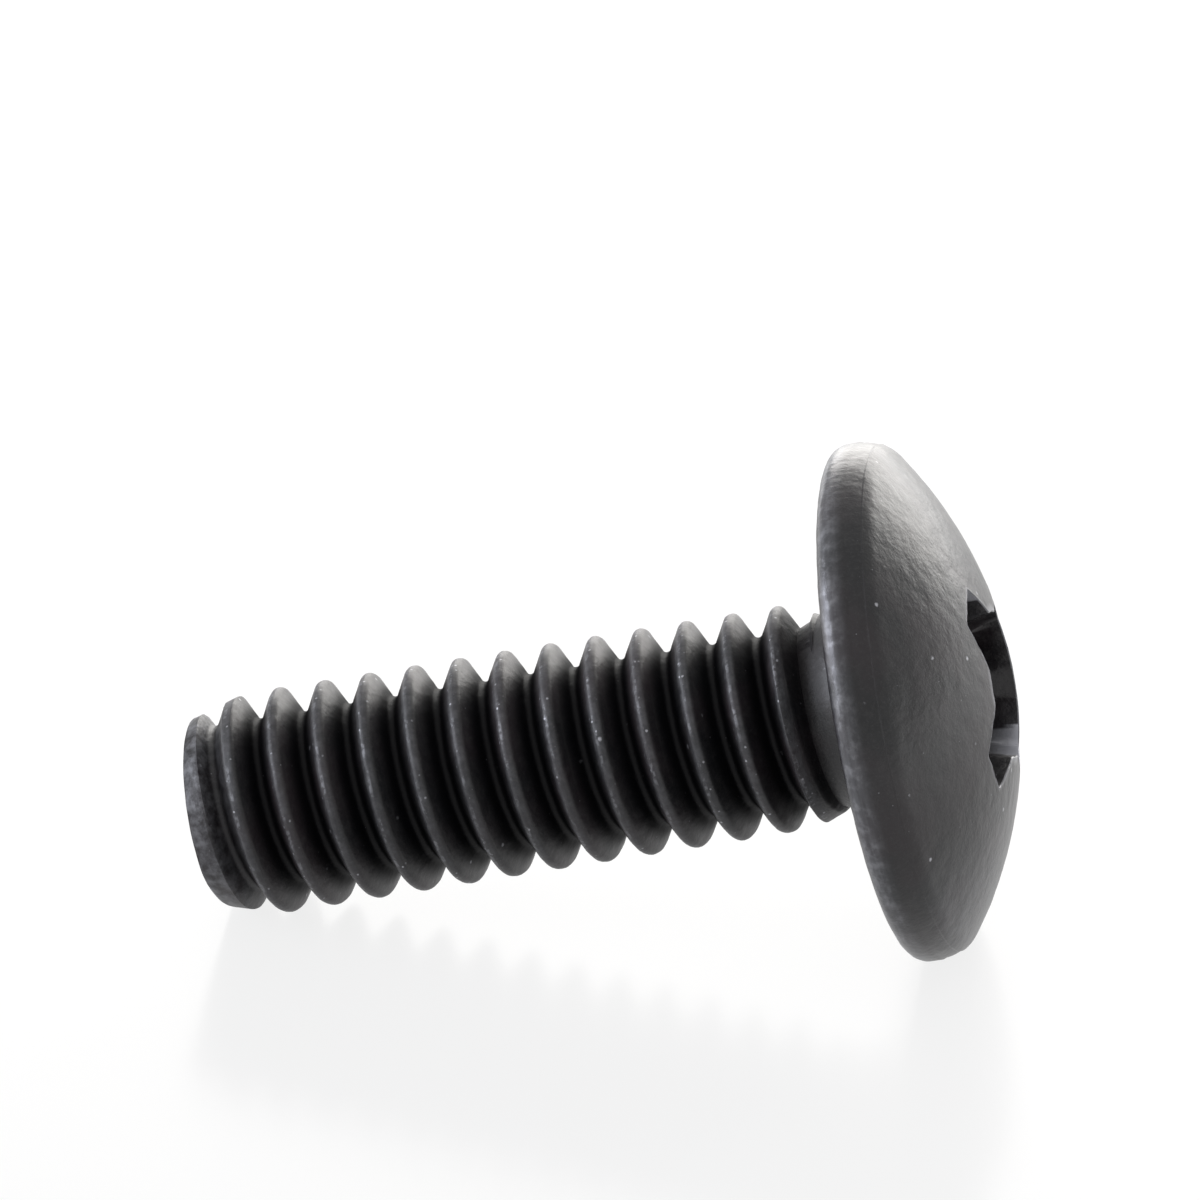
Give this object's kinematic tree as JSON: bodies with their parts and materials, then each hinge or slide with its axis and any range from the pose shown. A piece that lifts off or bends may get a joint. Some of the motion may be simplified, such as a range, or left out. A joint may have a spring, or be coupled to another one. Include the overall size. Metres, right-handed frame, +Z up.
{
  "type": "truss head machine screw",
  "caption": "Black truss-head machine screw with a cross recess in its low dome and a coarse right-hand thread up to the head, lying at rest on its rim and tip.",
  "frame": {"origin": "On the surface that the screw lies on, under the middle of its length and width.", "axes": "+Z up. The screw's axis lies in the XZ plane with the head towards +X, and rises towards the head by the angle at which the rim and the tip both touch the surface. +Y is level, across the screw."},
  "size_m": [0.0226, 0.014, 0.0138],
  "materials": {
    "black_steel": "black oxide steel, satin, with worn crests and edges"
  },
  "bodies": {
    "root": {"screw": "black_steel"}
  },
  "joints": []
}
